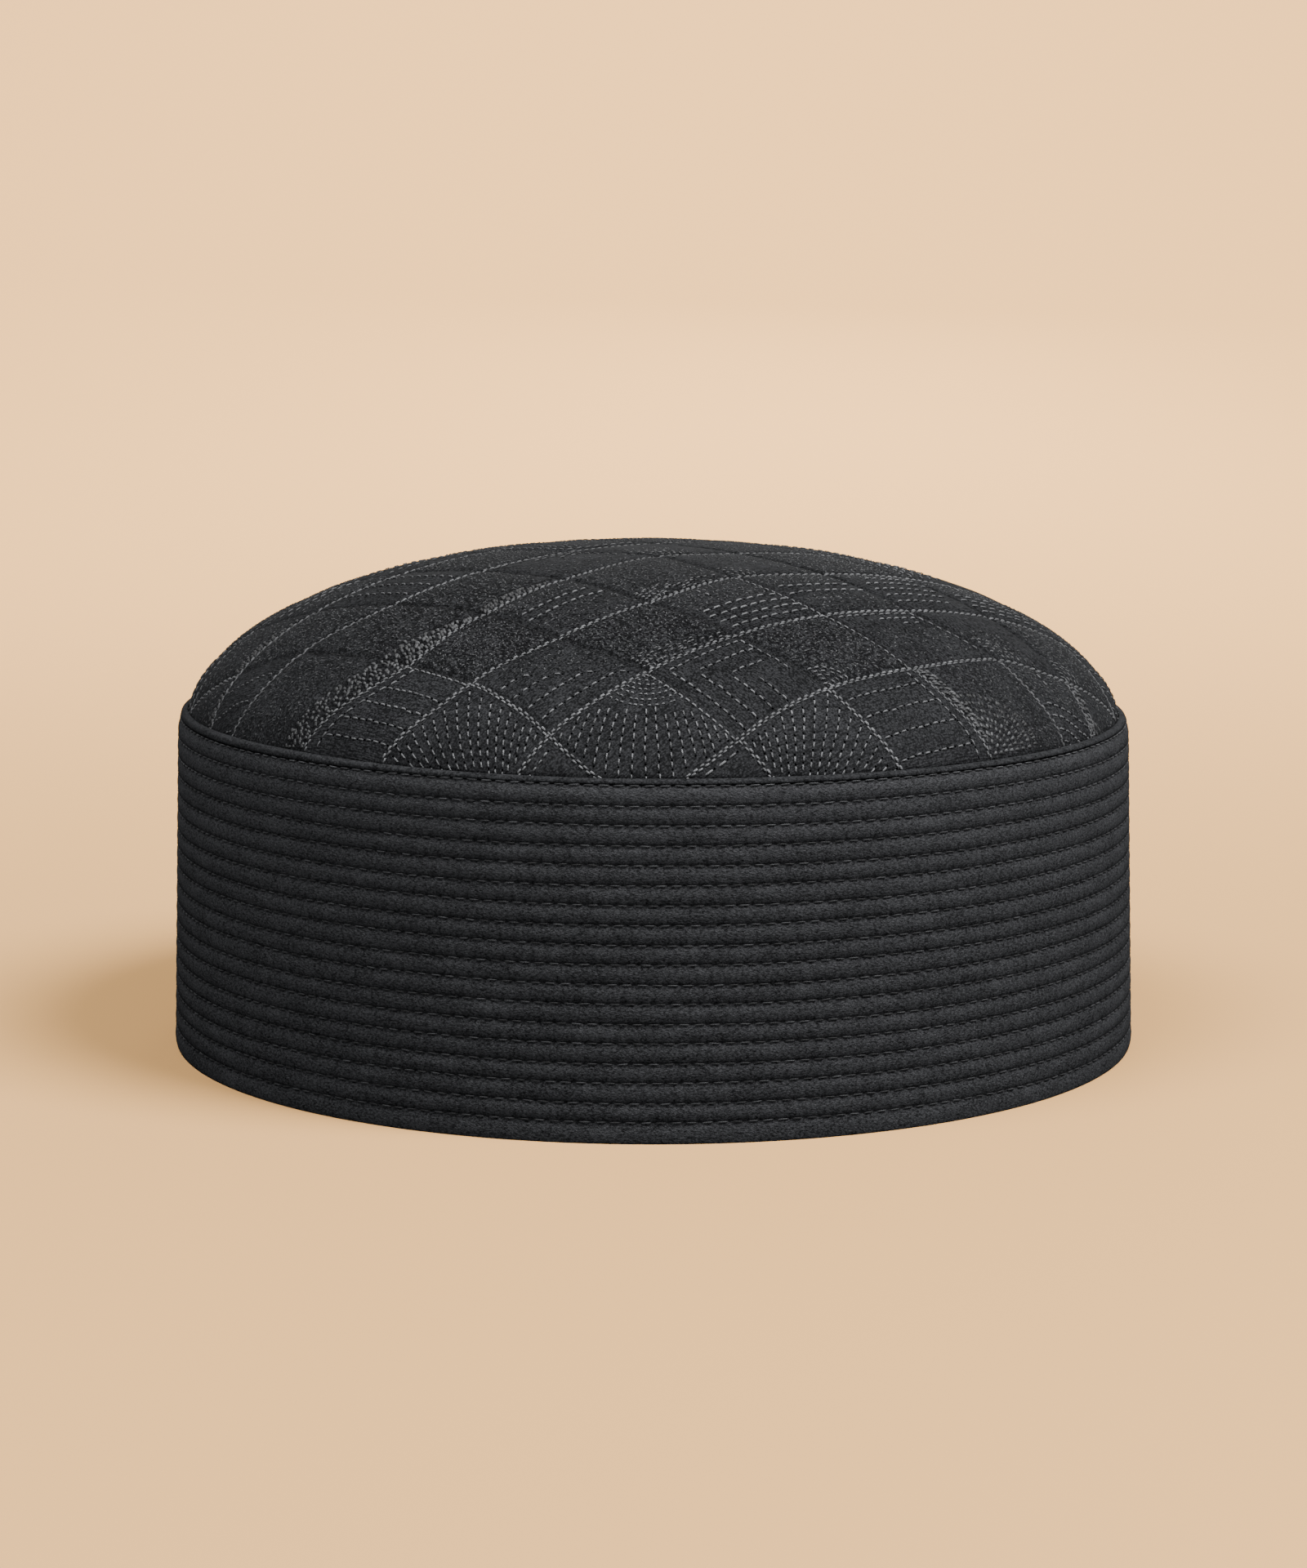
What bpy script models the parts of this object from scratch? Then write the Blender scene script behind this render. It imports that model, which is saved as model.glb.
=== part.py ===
"""A stiff kufi: a domed crown of quilted cloth, seamed into a tall ribbed band under a narrow welt.

The cap stands on its rim, with the origin at the rim's centre, +Z up and the front towards -Y. Metres.
"""

import math

import bmesh
import bpy

MM = 0.001

# The band, in millimetres: a strip quilted into even ribs and closed round the head.
RIM_RADIUS = 95.4  # over the rib crests, carried down to the rim
HEM_RADIUS = 95.05  # the outer edge of the flat foot
HEM_HEIGHT = 3.9  # the lowest rib is a folded hem, a little taller than the others
RIB_COUNT = 18
RIB_PITCH = 3.55
RIB_DEPTH = 0.5  # from a rib's crest down to the row of stitches beside it
RIB_ROUNDNESS = 0.7  # 1 is a plain sine, less is fuller with a sharper groove
BAND_TAPER = 0.0255  # how much the radius shrinks for each millimetre of height
BAND_WALL = 2.4
SEAM_GAP = 0.3  # between pieces that are sewn together

# The welt is a narrow fold of cloth over the band's raw top edge.
WELT_HEIGHT = 1.7
WELT_LEAN = 1.25  # how far its top sits inside its foot
WELT_SWELL = 0.3
WELT_STEPS = 5

# The crown is a superellipse turned about the vertical axis.
CROWN_RADIUS = 92.1
CROWN_FOOT = 62.3
CROWN_RISE = 34.7
CROWN_SIDE_POWER = 2.21
CROWN_TOP_POWER = 1.87
CROWN_WALL = 2.0
SEAM_RADIUS = 91.05  # where the crown meets the welt and turns down inside the band
SEAM_ALLOWANCE_FOOT = 57.5

# The cap leans a little: its -X side stands taller than its +X side.
LEAN = 0.008

SEGMENTS = 48
RIB_STEPS = 4
CROWN_STEPS = 11

BAND_HEIGHT = HEM_HEIGHT + (RIB_COUNT - 1) * RIB_PITCH

CHARCOAL = (0.021, 0.022, 0.024)
CROWN_CHARCOAL = (0.025, 0.025, 0.026)


def crest_radius(z):
    """The band's radius over its rib crests at a height."""
    return RIM_RADIUS - BAND_TAPER * z


def add_ring(mesh, radius, z):
    """A ring of vertices about the axis, or one vertex where the radius is 0."""
    ring = []
    for k in range(SEGMENTS if radius > 0 else 1):
        angle = 2 * math.pi * k / SEGMENTS
        x = radius * math.sin(angle)
        y = -radius * math.cos(angle)
        leaning_z = z * (1 - LEAN * x / RIM_RADIUS)
        ring.append(mesh.verts.new((x * MM, y * MM, leaning_z * MM)))
    return ring


def turned_mesh(name, profile):
    """A mesh turned from a closed profile of (radius, height) points."""
    turned = bmesh.new()
    rings = [add_ring(turned, radius, z) for radius, z in profile]
    for lower, upper in zip(rings, rings[1:] + rings[:1]):
        for k in range(SEGMENTS):
            corners = [lower[k % len(lower)], lower[(k + 1) % len(lower)]]
            corners += [upper[(k + 1) % len(upper)], upper[k % len(upper)]]
            corners = list(dict.fromkeys(corners))
            if len(corners) > 2:
                turned.faces.new(corners)
    bmesh.ops.recalc_face_normals(turned, faces=turned.faces)
    mesh = bpy.data.meshes.new(name)
    turned.to_mesh(mesh)
    turned.free()
    mesh.shade_smooth()
    mesh.set_sharp_from_angle(angle=math.radians(40))
    return mesh


def cloth_material(name, colour, roughness):
    """A plain cloth: one colour, one roughness, no metal."""
    cloth = bpy.data.materials.new(name)
    cloth.use_nodes = True
    shader = cloth.node_tree.nodes["Principled BSDF"]
    shader.inputs["Base Color"].default_value = (*colour, 1)
    shader.inputs["Roughness"].default_value = roughness
    shader.inputs["Metallic"].default_value = 0
    return cloth


def add_piece(name, profile, material):
    """A named object turned from a profile."""
    mesh = turned_mesh(name, profile)
    mesh.materials.append(material)
    piece = bpy.data.objects.new(name, mesh)
    bpy.context.scene.collection.objects.link(piece)
    return piece


def rib_outline(low, high):
    """One rib's outer points, from its lower groove up to the last point before its upper groove."""
    points = []
    for step in range(RIB_STEPS):
        share = step / RIB_STEPS
        z = low + share * (high - low)
        bulge = math.sin(math.pi * share) ** RIB_ROUNDNESS
        points.append((crest_radius(z) - RIB_DEPTH * (1 - bulge), z))
    return points


def band_profile():
    """The quilted band: a flat foot, ribs up the outside and a plain inner face."""
    outer = [(HEM_RADIUS, 0)] + rib_outline(0, HEM_HEIGHT)[1:]
    for rib in range(1, RIB_COUNT):
        low = HEM_HEIGHT + (rib - 1) * RIB_PITCH
        outer += rib_outline(low, low + RIB_PITCH)
    top = BAND_HEIGHT - SEAM_GAP / 2
    outer.append((crest_radius(top) - RIB_DEPTH, top))
    inner = [(crest_radius(top) - BAND_WALL, top), (crest_radius(0) - BAND_WALL, 0)]
    return outer + inner


def welt_profile():
    """The welt: a flat foot on the band, a rounded outer side and top, and a plain back."""
    foot = BAND_HEIGHT + SEAM_GAP / 2
    back = crest_radius(foot) - BAND_WALL
    face = crest_radius(foot) - RIB_DEPTH
    points = [(back, foot), (face, foot)]
    for step in range(1, WELT_STEPS + 1):
        share = step / WELT_STEPS
        swell = WELT_SWELL * math.sin(math.pi * share)
        z = foot + WELT_HEIGHT * math.sin(share * math.pi / 2)
        points.append((face - WELT_LEAN * share**2 + swell, z))
    points.append((back, foot + WELT_HEIGHT * 0.7))
    return points


def dome_point(turn, radius, rise):
    """A point of the superellipse; turn runs from 0 at the top to a quarter circle at the foot."""
    r = radius * math.sin(turn) ** (2 / CROWN_SIDE_POWER)
    z = CROWN_FOOT + rise * math.cos(turn) ** (2 / CROWN_TOP_POWER)
    return r, z


def crown_profile():
    """The crown: a dome one wall thick, whose edge turns down inside the band as a seam allowance."""
    seam_turn = math.asin((SEAM_RADIUS / CROWN_RADIUS) ** (CROWN_SIDE_POWER / 2))
    turns = [seam_turn * step / CROWN_STEPS for step in range(CROWN_STEPS + 1)]
    outer = [dome_point(turn, CROWN_RADIUS, CROWN_RISE) for turn in turns]
    inner = [dome_point(turn, CROWN_RADIUS - CROWN_WALL, CROWN_RISE - CROWN_WALL) for turn in turns]
    allowance = [(outer[-1][0], SEAM_ALLOWANCE_FOOT), (inner[-1][0], SEAM_ALLOWANCE_FOOT)]
    return outer + allowance + inner[::-1]


def main():
    for left_over in list(bpy.data.objects):
        bpy.data.objects.remove(left_over)
    add_piece("band", band_profile(), cloth_material("band_felt", CHARCOAL, 0.92))
    add_piece("top_welt", welt_profile(), cloth_material("welt_felt", CHARCOAL, 0.92))
    add_piece("crown", crown_profile(), cloth_material("crown_cloth", CROWN_CHARCOAL, 0.85))


main()
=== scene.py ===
import math

import bpy
import numpy as np
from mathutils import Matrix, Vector


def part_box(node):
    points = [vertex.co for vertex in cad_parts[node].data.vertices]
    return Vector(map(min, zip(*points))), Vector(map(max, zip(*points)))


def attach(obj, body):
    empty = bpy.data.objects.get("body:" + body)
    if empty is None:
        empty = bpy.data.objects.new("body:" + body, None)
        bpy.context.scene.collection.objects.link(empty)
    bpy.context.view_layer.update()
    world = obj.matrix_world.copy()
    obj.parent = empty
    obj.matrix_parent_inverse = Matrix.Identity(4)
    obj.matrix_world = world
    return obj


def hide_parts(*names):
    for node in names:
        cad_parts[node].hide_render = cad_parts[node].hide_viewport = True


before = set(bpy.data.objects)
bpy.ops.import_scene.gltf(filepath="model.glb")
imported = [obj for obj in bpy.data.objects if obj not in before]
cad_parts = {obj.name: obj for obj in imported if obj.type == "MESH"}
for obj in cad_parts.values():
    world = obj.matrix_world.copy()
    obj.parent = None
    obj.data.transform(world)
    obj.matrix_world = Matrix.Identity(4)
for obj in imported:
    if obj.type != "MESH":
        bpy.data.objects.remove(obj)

# Shapes are worked out in millimetres and put down in metres.
mm = 0.001
body = "root"
fullTurn = 2 * math.pi
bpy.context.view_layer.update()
bandHigh, weltHigh, crownHigh = (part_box(node)[1] / mm for node in ("band", "top_welt", "crown"))
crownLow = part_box("crown")[0] / mm
print("frame loaded, nodes:", ", ".join(sorted(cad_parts)))


# Mesh helpers

def makePiece(name, points, faceSets, material, corners=None, values=None):
    mesh = bpy.data.meshes.new(name)
    mesh.vertices.add(len(points))
    mesh.vertices.foreach_set("co", (points * mm).astype(np.float32).ravel())
    loops = np.concatenate([faces.ravel() for faces in faceSets]).astype(np.int32)
    sizes = np.concatenate([np.full(len(faces), faces.shape[1]) for faces in faceSets])
    mesh.loops.add(len(loops))
    mesh.loops.foreach_set("vertex_index", loops)
    mesh.polygons.add(len(sizes))
    mesh.polygons.foreach_set("loop_start", (np.cumsum(sizes) - sizes).astype(np.int32))
    mesh.polygons.foreach_set("use_smooth", np.ones(len(sizes), dtype=bool))
    mesh.update(calc_edges=True)
    if corners is not None:  # cloth coordinates in millimetres, which the weave follows
        layer = mesh.uv_layers.new(name="clothMap")
        layer.data.foreach_set("uv", corners[loops].astype(np.float32).ravel())
    for label, value in (values or {}).items():
        spot = mesh.attributes.new(label, "FLOAT", "POINT")
        spot.data.foreach_set("value", value.astype(np.float32).ravel())
    mesh.materials.append(material)
    piece = bpy.data.objects.new(name, mesh)
    bpy.context.scene.collection.objects.link(piece)
    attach(piece, body)
    print(f"{name}: {int((sizes - 2).sum())} triangles")
    return piece


# Quads of a closed grid: it joins up across its columns and across its rows
def ringFaces(rows, columns):
    low, left = np.arange(rows)[:, None], np.arange(columns)[None, :]
    high, right = (low + 1) % rows, (left + 1) % columns
    quads = [low * columns + left, low * columns + right, high * columns + right, high * columns + left]
    return np.stack(quads, axis=-1).reshape(-1, 4)


# A smooth waver round the cap, in -1 to 1: a few slow waves with seeded phases
def waver(angle, seed, waves):
    phases = np.random.default_rng(seed).uniform(0, fullTurn, len(waves))
    total = sum(np.sin(wave * angle + phases[place]) / (1 + place) for place, wave in enumerate(waves))
    return total / sum(1 / (1 + place) for place in range(len(waves)))


# Unit steps to the left of flat steps
def leftOf(steps):
    return np.stack([-steps[:, 1], steps[:, 0]], axis=-1) / np.linalg.norm(steps, axis=1, keepdims=True)


# 1 at nothing, and falling away over the reach
def near(distance, reach):
    return np.exp(-((distance / reach) ** 2))


def eased(value, low, high):
    share = np.clip((value - low) / (high - low), 0, 1)
    return share * share * (3 - 2 * share)


# Shader helpers: the nodes of one material or group, and short ways to add the usual ones

class NodeTree:
    def __init__(self, owner):
        self.nodes, self.links = owner.nodes, owner.links

    # Each socket gets a link where the value is a socket, and else the value itself
    def fill(self, node, values):
        for key, value in values.items():
            socket = node.inputs[key]
            if isinstance(value, bpy.types.NodeSocket):
                self.links.new(value, socket)
            else:
                socket.default_value = (*value, 1) if socket.type == "RGBA" else value

    def add(self, kind, values=None, **settings):
        node = self.nodes.new("ShaderNode" + kind)
        for label, setting in settings.items():
            setattr(node, label, setting)
        self.fill(node, values or {})
        return node.outputs

    def calc(self, operation, *values, clamp=False):
        return self.add("Math", dict(enumerate(values)), operation=operation, use_clamp=clamp)[0]

    def mix(self, share, first, second):
        return self.add("Mix", {0: share, 6: first, 7: second}, data_type="RGBA")[2]

    def mixValues(self, share, first, second):
        return self.add("Mix", {0: share, 2: first, 3: second}, data_type="FLOAT")[0]

    def painted(self, name):
        return self.add("Attribute", attribute_name=name)["Fac"]

    def place(self):
        return self.add("TexCoord")["Object"]

    def cloth(self):
        return self.add("UVMap", uv_map="clothMap")["UV"]

    def use(self, group, **values):
        return self.add("Group", values, node_tree=group)

    def bump(self, height, strength, distance):
        return self.add("Bump", {"Strength": strength, "Distance": distance, "Height": height})["Normal"]

    # The parts of a vector that is turned about Z
    def turned(self, vector, angle):
        turn = self.add("VectorRotate", {"Vector": vector, "Angle": angle}, rotation_type="Z_AXIS")
        return self.add("SeparateXYZ", {"Vector": turn["Vector"]})


def newMaterial(name):
    material = bpy.data.materials.new(name)
    material.use_nodes = True
    return material, NodeTree(material.node_tree), material.node_tree.nodes["Principled BSDF"]


# Inputs map each name to its usual value, or to None for a vector; all outputs are values
def newGroup(name, inputs, outputs):
    group = bpy.data.node_groups.new(name, "ShaderNodeTree")
    for label, value in inputs.items():
        kind = "NodeSocketVector" if value is None else "NodeSocketFloat"
        socket = group.interface.new_socket(label, in_out="INPUT", socket_type=kind)
        if value is not None:
            socket.default_value = value
    for label in outputs:
        group.interface.new_socket(label, in_out="OUTPUT", socket_type="NodeSocketFloat")
    given, made = group.nodes.new("NodeGroupInput"), group.nodes.new("NodeGroupOutput")
    return group, NodeTree(group), given.outputs, made


# Short matted fibres and the crumb between them; used by every cloth and thread
def buildCrumb():
    inputs = {"Place": None, "Fineness": 1400.0, "Fleck": 0.5}
    group, tree, given, made = newGroup("crumb", inputs, ("Height", "Tone"))
    place, fineness = given["Place"], given["Fineness"]
    fine = tree.add("TexNoise", {"Vector": place, "Scale": fineness, "Detail": 4.0, "Roughness": 0.62})
    pebbleScale = tree.calc("MULTIPLY", fineness, 0.9)
    pebble = tree.add("TexVoronoi", feature="SMOOTH_F1",
                      values={"Vector": place, "Scale": pebbleScale, "Smoothness": 0.45})
    broadScale = tree.calc("MULTIPLY", fineness, 0.06)
    broad = tree.add("TexNoise", {"Vector": place, "Scale": broadScale, "Detail": 2.0})
    height = tree.calc("SUBTRACT", fine["Fac"], tree.calc("MULTIPLY", pebble["Distance"], given["Fleck"]))
    tone = tree.calc("MULTIPLY_ADD", height, 1.7, -0.25)
    tone = tree.calc("MULTIPLY_ADD", broad["Fac"], 0.45, tone, clamp=True)
    tree.fill(made, {"Height": height, "Tone": tone})
    return group


# Fine parallel ribs that run at an angle over cloth coordinates: the twist of a thread
def buildWale():
    inputs = {"Cloth": None, "Pitch": 0.6, "Angle": 0.7, "Wander": 0.2}
    group, tree, given, made = newGroup("wale", inputs, ("Height",))
    drift = tree.add("TexNoise", {"Vector": given["Cloth"], "Scale": 0.9, "Detail": 3.0})
    across = tree.turned(given["Cloth"], given["Angle"])["Y"]
    across = tree.calc("MULTIPLY_ADD", drift["Fac"], given["Wander"], across)
    cycles = tree.calc("DIVIDE", across, given["Pitch"])
    wave = tree.calc("SINE", tree.calc("MULTIPLY", cycles, fullTurn))
    tree.fill(made, {"Height": tree.calc("MULTIPLY_ADD", wave, 0.5, 0.5)})
    return group


# Short grains of thread laid side by side: each has its own shade, with a gap round it
def buildGrains():
    inputs = {"Cloth": None, "Length": 0.9, "Width": 0.4, "Angle": 0.7, "Stray": 1.2}
    group, tree, given, made = newGroup("grains", inputs, ("Height", "Shade"))
    drift = tree.add("TexNoise", {"Vector": given["Cloth"], "Scale": 0.75, "Detail": 1.0})
    shift = tree.add("VectorMath", {0: drift["Color"], "Scale": given["Stray"]}, operation="SCALE")
    strayed = tree.add("VectorMath", {0: given["Cloth"], 1: shift["Vector"]}, operation="ADD")
    turned = tree.turned(strayed["Vector"], given["Angle"])
    lengths = tree.calc("DIVIDE", turned["X"], given["Length"])
    widths = tree.calc("DIVIDE", turned["Y"], given["Width"])
    cells = tree.add("CombineXYZ", {"X": lengths, "Y": widths})
    grain = tree.add("TexVoronoi", voronoi_dimensions="2D",
                     values={"Vector": cells["Vector"], "Scale": 1.0, "Randomness": 0.85})
    span = {"Value": grain["Distance"], "From Min": 0.72, "From Max": 0.12, "To Min": 0.0, "To Max": 1.0}
    dome = tree.add("MapRange", span, interpolation_type="SMOOTHSTEP")["Result"]
    own = tree.add("SeparateXYZ", {"Vector": grain["Color"]})["X"]
    shade = tree.calc("MULTIPLY", dome, tree.calc("MULTIPLY_ADD", own, 0.7, 0.3))
    tree.fill(made, {"Height": dome, "Shade": shade})
    return group


# Painted light: cloth made paler towards a height, nothing at the start and the whole amount at the end, both
# in metres
def buildHeightFade():
    inputs = {"Place": None, "Start": 0.0, "End": 0.1, "Amount": 0.1}
    group, tree, given, made = newGroup("paintedLightByHeight", inputs, ("Tone",))
    level = tree.add("SeparateXYZ", {"Vector": given["Place"]})["Z"]
    span = {"Value": level, "From Min": given["Start"], "From Max": given["End"], "To Max": given["Amount"]}
    tree.fill(made, {"Tone": tree.add("MapRange", span)["Result"]})
    return group


crumb, wale, grains, paintedLightByHeight = buildCrumb(), buildWale(), buildGrains(), buildHeightFade()
print("shader groups built")


# Felt: the ribbed band and the welt over its edge
feltLook = {
    "dark": (0.0042, 0.0043, 0.0047),
    "light": (0.0705, 0.0715, 0.0760),
    # painted shade: the near-black of the band's grooves and needle holes and of the welt's foot
    "groove": (0.0012, 0.0012, 0.0014),
    "fineness": 1750.0,
    "fineCrumb": 3600.0,
    "nap": 1.7,  # over 1 the fibres lie along the band more than up it
    "fleck": 0.55,
    "bump": 0.8,
    "bumpHigh": 0.00026,
    "roughness": 0.87,
    # painted light: the band's felt is made paler towards the welt, as if lit more from above
    "pale": {"Start": 0.034, "End": 0.066, "Amount": 0.08},  # in metres up: paler towards the welt
}
evenly = {"Start": 0.034, "End": 0.066, "Amount": 0.0}
# The welt's felt is a darker copy of the band's: painted shade, offsetting the extra light on its upturned
# top
weltShadedLook = {**feltLook, "light": (0.046, 0.047, 0.050), "nap": 1.2, "pale": evenly}


def buildFelt(name, look):
    material, tree, shader = newMaterial(name)
    place = tree.place()
    laid = tree.add("VectorMath", {0: place, 1: (1, 1, look["nap"])}, operation="MULTIPLY")["Vector"]
    matted = tree.use(crumb, Place=laid, Fineness=look["fineness"], Fleck=look["fleck"])
    fine = tree.use(crumb, Place=laid, Fineness=look["fineCrumb"], Fleck=look["fleck"])
    paler = tree.use(paintedLightByHeight, Place=place, **look["pale"])
    tone = tree.calc("MULTIPLY_ADD", matted["Tone"], 0.55, tree.calc("MULTIPLY", fine["Tone"], 0.5))
    tone = tree.calc("ADD", tone, paler["Tone"], clamp=True)
    colour = tree.mix(tone, look["dark"], look["light"])
    height = tree.calc("MULTIPLY_ADD", matted["Height"], 0.7, tree.calc("MULTIPLY", fine["Height"], 0.6))
    tree.fill(shader, {
        # painted shade of the grooves, the needle holes and the welt's foot, mixed in by its attribute
        "Base Color": tree.mix(tree.painted("paintedShade"), colour, look["groove"]),
        "Roughness": tree.calc("MULTIPLY_ADD", matted["Tone"], 0.1, look["roughness"]),
        "Specular IOR Level": 0.02,
        "Normal": tree.bump(height, look["bump"], look["bumpHigh"]),
    })
    return material


# Sewing thread: a twisted strand with a slanted ripple, and each stitch has its own brightness
threadLook = {
    "sooty": (0.0040, 0.0041, 0.0045),
    "twistPitch": 0.34,
    "twistAngle": 0.85,
    "bump": 0.5,
    "bumpHigh": 0.00008,
    "gloss": 0.35,
    # each thread's dark and light colour, its roughness and its sheen
    "band": ((0.016, 0.0163, 0.0175), (0.070, 0.0715, 0.0765), 0.7, 0.0),
    "crown": ((0.060, 0.0612, 0.0645), (0.182, 0.185, 0.193), 0.58, 0.03),
    "ground": ((0.022, 0.0225, 0.024), (0.10, 0.102, 0.107), 0.6, 0.02),
}


def buildThread(kind, look):
    material, tree, shader = newMaterial(kind + "Thread")
    dark, light, roughness, sheen = look[kind]
    pitch, angle = look["twistPitch"], look["twistAngle"]
    twist = tree.use(wale, Cloth=tree.cloth(), Pitch=pitch, Angle=angle, Wander=0.05)
    uneven = tree.use(crumb, Place=tree.place(), Fineness=420.0, Fleck=0.3)
    tone = tree.calc("MULTIPLY_ADD", uneven["Tone"], 0.75, tree.calc("MULTIPLY", twist["Height"], 0.25))
    tree.fill(shader, {
        "Base Color": tree.mix(tree.painted("glow"), look["sooty"], tree.mix(tone, dark, light)),
        "Roughness": roughness,
        "Specular IOR Level": look["gloss"],
        "Sheen Weight": sheen,
        "Sheen Roughness": 0.4,
        "Normal": tree.bump(twist["Height"], look["bump"], look["bumpHigh"]),
    })
    return material


# Punched holes and the shade inside them
def buildHoleShade():
    material, tree, shader = newMaterial("holeShade")
    lint = tree.use(crumb, Place=tree.place(), Fineness=2200.0, Fleck=0.4)
    colour = tree.mix(lint["Tone"], (0.0003, 0.0003, 0.0004), (0.0016, 0.0016, 0.0018))
    tree.fill(shader, {"Base Color": colour, "Roughness": 1.0, "Specular IOR Level": 0.0})
    return material


bandFelt, weltShadedFelt = buildFelt("bandFelt", feltLook), buildFelt("weltShadedFelt", weltShadedLook)
bandThread, crownThread, groundThread = (
    buildThread(kind, threadLook) for kind in ("band", "crown", "ground"))
holeShade = buildHoleShade()
print("felt, thread and hole materials built")


# Band: ribs quilted by rows of stitches
bandCut = {
    "ribs": 18,
    "hem": 3.9,  # the lowest rib is a folded hem
    "pitch": 3.55,
    "rimRadius": bandHigh.x + 0.05,
    "taper": 0.0255,
    "lean": 0.008,  # the -X side stands taller
    "depth": 0.33,
    "shoulder": 0.4,  # how far the top rib bends inwards, over the height given next
    "shoulderHigh": 3.5,
    "fullness": 0.72,
    "sag": 0.9,  # under 1 the ribs hang lower than their middles
    "hemTuck": 0.3,
    "wall": 2.4,
    "columns": 872,
    "rowShares": (0.0, 0.055, 0.17, 0.42, 0.7, 0.93),
    "topGap": 0.012,  # in ribs, between the highest row of the cloth and the welt's row of stitches
    "depthWaver": 0.09,
    "lineWaver": 0.13,
}
bandSewing = {
    "stitches": 218,
    "length": 1.95,
    "width": 0.32,
    "height": 0.18,
    "stand": 0.13,  # how far the thread's middle stands off the groove
    # painted highlight: the thread of the top rows is painted brighter, where it catches the light; the lower
    # rows get the dimmer range
    "clearRows": 3,  # the rows under the welt whose thread catches the light
    "litGlow": (0.3, 0.95),
    "dimGlow": (0.05, 0.75),
    # what each needle hole does to the cloth: depth, or for the hole its painted shade, then reach along the
    # row and reach up from it; the groove's painted shade has only an amount and a reach up
    "pucker": (0.2, 0.75, 0.7),
    "crease": (0.09, 0.8, 1.3),
    "hole": (0.6, 0.4, 0.26),
    "groove": (0.4, 0.15),
}
stitchPitch = fullTurn * bandCut["rimRadius"] / bandSewing["stitches"]
stitchPhase = np.random.default_rng(11).integers(0, 4, bandCut["ribs"] + 1) / 4


def leaning(x, z):
    return z * (1 - bandCut["lean"] * x / bandCut["rimRadius"])


# Places at an angle round the cap, counted from the front
def roundCap(radius, z, angle):
    x, y = radius * np.sin(angle), -radius * np.cos(angle)
    return np.stack([x, y, leaning(x, z)], axis=-1)


# Height of a place on the band that is counted in ribs from the rim
def ribHeight(rib):
    hem, pitch = bandCut["hem"], bandCut["pitch"]
    return np.where(rib < 1, rib * hem, hem + (rib - 1) * pitch)


def grooveRadius(z):
    bend = np.clip((z - ribHeight(bandCut["ribs"])) / bandCut["shoulderHigh"] + 1, 0, 1) ** 2
    return bandCut["rimRadius"] - bandCut["taper"] * z - bandCut["depth"] - bandCut["shoulder"] * bend


# How far along the row the nearest needle hole is, and how far up the nearest row is, in mm
def holeDistance(angle, rib):
    row = np.clip(np.rint(rib), 0, bandCut["ribs"]).astype(int)
    along = np.mod(angle / fullTurn * bandSewing["stitches"] + stitchPhase[row], 1)
    along = np.minimum(along, 1 - along) * stitchPitch
    return along, np.abs((rib - row) * bandCut["pitch"]), row


def holeMark(mark, along, upward):
    amount, reach, high = bandSewing[mark]
    return amount * near(along, reach) * near(upward, high)


def bandPoint(angle, rib, lift=0.0, sunk=False):
    along, upward, row = holeDistance(angle, rib)
    share = np.mod(rib, 1)
    bulge = np.sin(math.pi * share ** bandCut["sag"]) ** bandCut["fullness"]
    tucked = 1 - (bandCut["hemTuck"] / bandCut["depth"]) * np.clip(1 - 2 * share, 0, 1) ** 2
    bulge = np.where((rib < 0.5) & (rib >= 0), np.maximum(bulge, tucked), bulge)
    depth = bandCut["depth"] * (1 + bandCut["depthWaver"] * waver(angle, 5, (3, 8, 19)))
    z = ribHeight(rib) + bandCut["lineWaver"] * waver(angle + row, 21, (3, 7, 13)) * np.clip(rib, 0, 1)
    radius = grooveRadius(z) + lift
    if not sunk:
        pulled = holeMark("pucker", along, upward) + holeMark("crease", along, upward)
        radius = radius + depth * bulge - (row > 0) * pulled
    return roundCap(radius, z, angle)


def buildBand():
    ribs, columns = bandCut["ribs"], bandCut["columns"]
    rows = [rib + share for rib in range(ribs) for share in bandCut["rowShares"]]
    rows.append(ribs - bandCut["topGap"])
    angle = np.arange(columns) / columns * fullTurn
    ribGrid, angleGrid = np.meshgrid(rows, angle, indexing="ij")
    outside = bandPoint(angleGrid, ribGrid)
    along, upward, row = holeDistance(angleGrid, ribGrid)
    # Painted shade: dark along each stitched groove and darker at each needle hole
    grooveShade, grooveHigh = bandSewing["groove"]
    groove = grooveShade * near(upward, grooveHigh)
    paintedShade = np.maximum(holeMark("hole", along, upward), groove) * (row > 0)
    inside = []
    topHeight = float(ribHeight(np.array(rows[-1])))
    for z in (topHeight, topHeight * 0.5, 0.0):
        inside.append(roundCap(bandCut["rimRadius"] - bandCut["taper"] * z - bandCut["wall"], z, angle))
    points = np.concatenate([outside.reshape(-1, 3)] + inside)
    paintedShadeAll = np.concatenate([paintedShade.ravel(), np.zeros(len(inside) * columns)])
    faces = ringFaces(len(rows) + len(inside), columns)
    piece = makePiece("bandCloth", points, [faces], bandFelt, values={"paintedShade": paintedShadeAll})
    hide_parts("band")


buildBand()


# Stitches

# Rings along a stitch: where each is, how thick it is, and how far its middle stands off the cloth
threadForm = (0.0, 0.2, 0.8, 1.0), (0.4, 1.0, 1.0, 0.4), (-0.55, 0.45, 0.45, -0.55)
seedForm = (0.0, 0.5, 1.0), (0.3, 1.1, 0.3), (-0.5, 0.4, -0.5)
scaleForm = (0.0, 0.35, 0.75, 1.0), (0.4, 1.0, 0.9, 0.3), (-0.3, 0.4, 0.3, -0.4)
threadSides = 4


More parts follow.
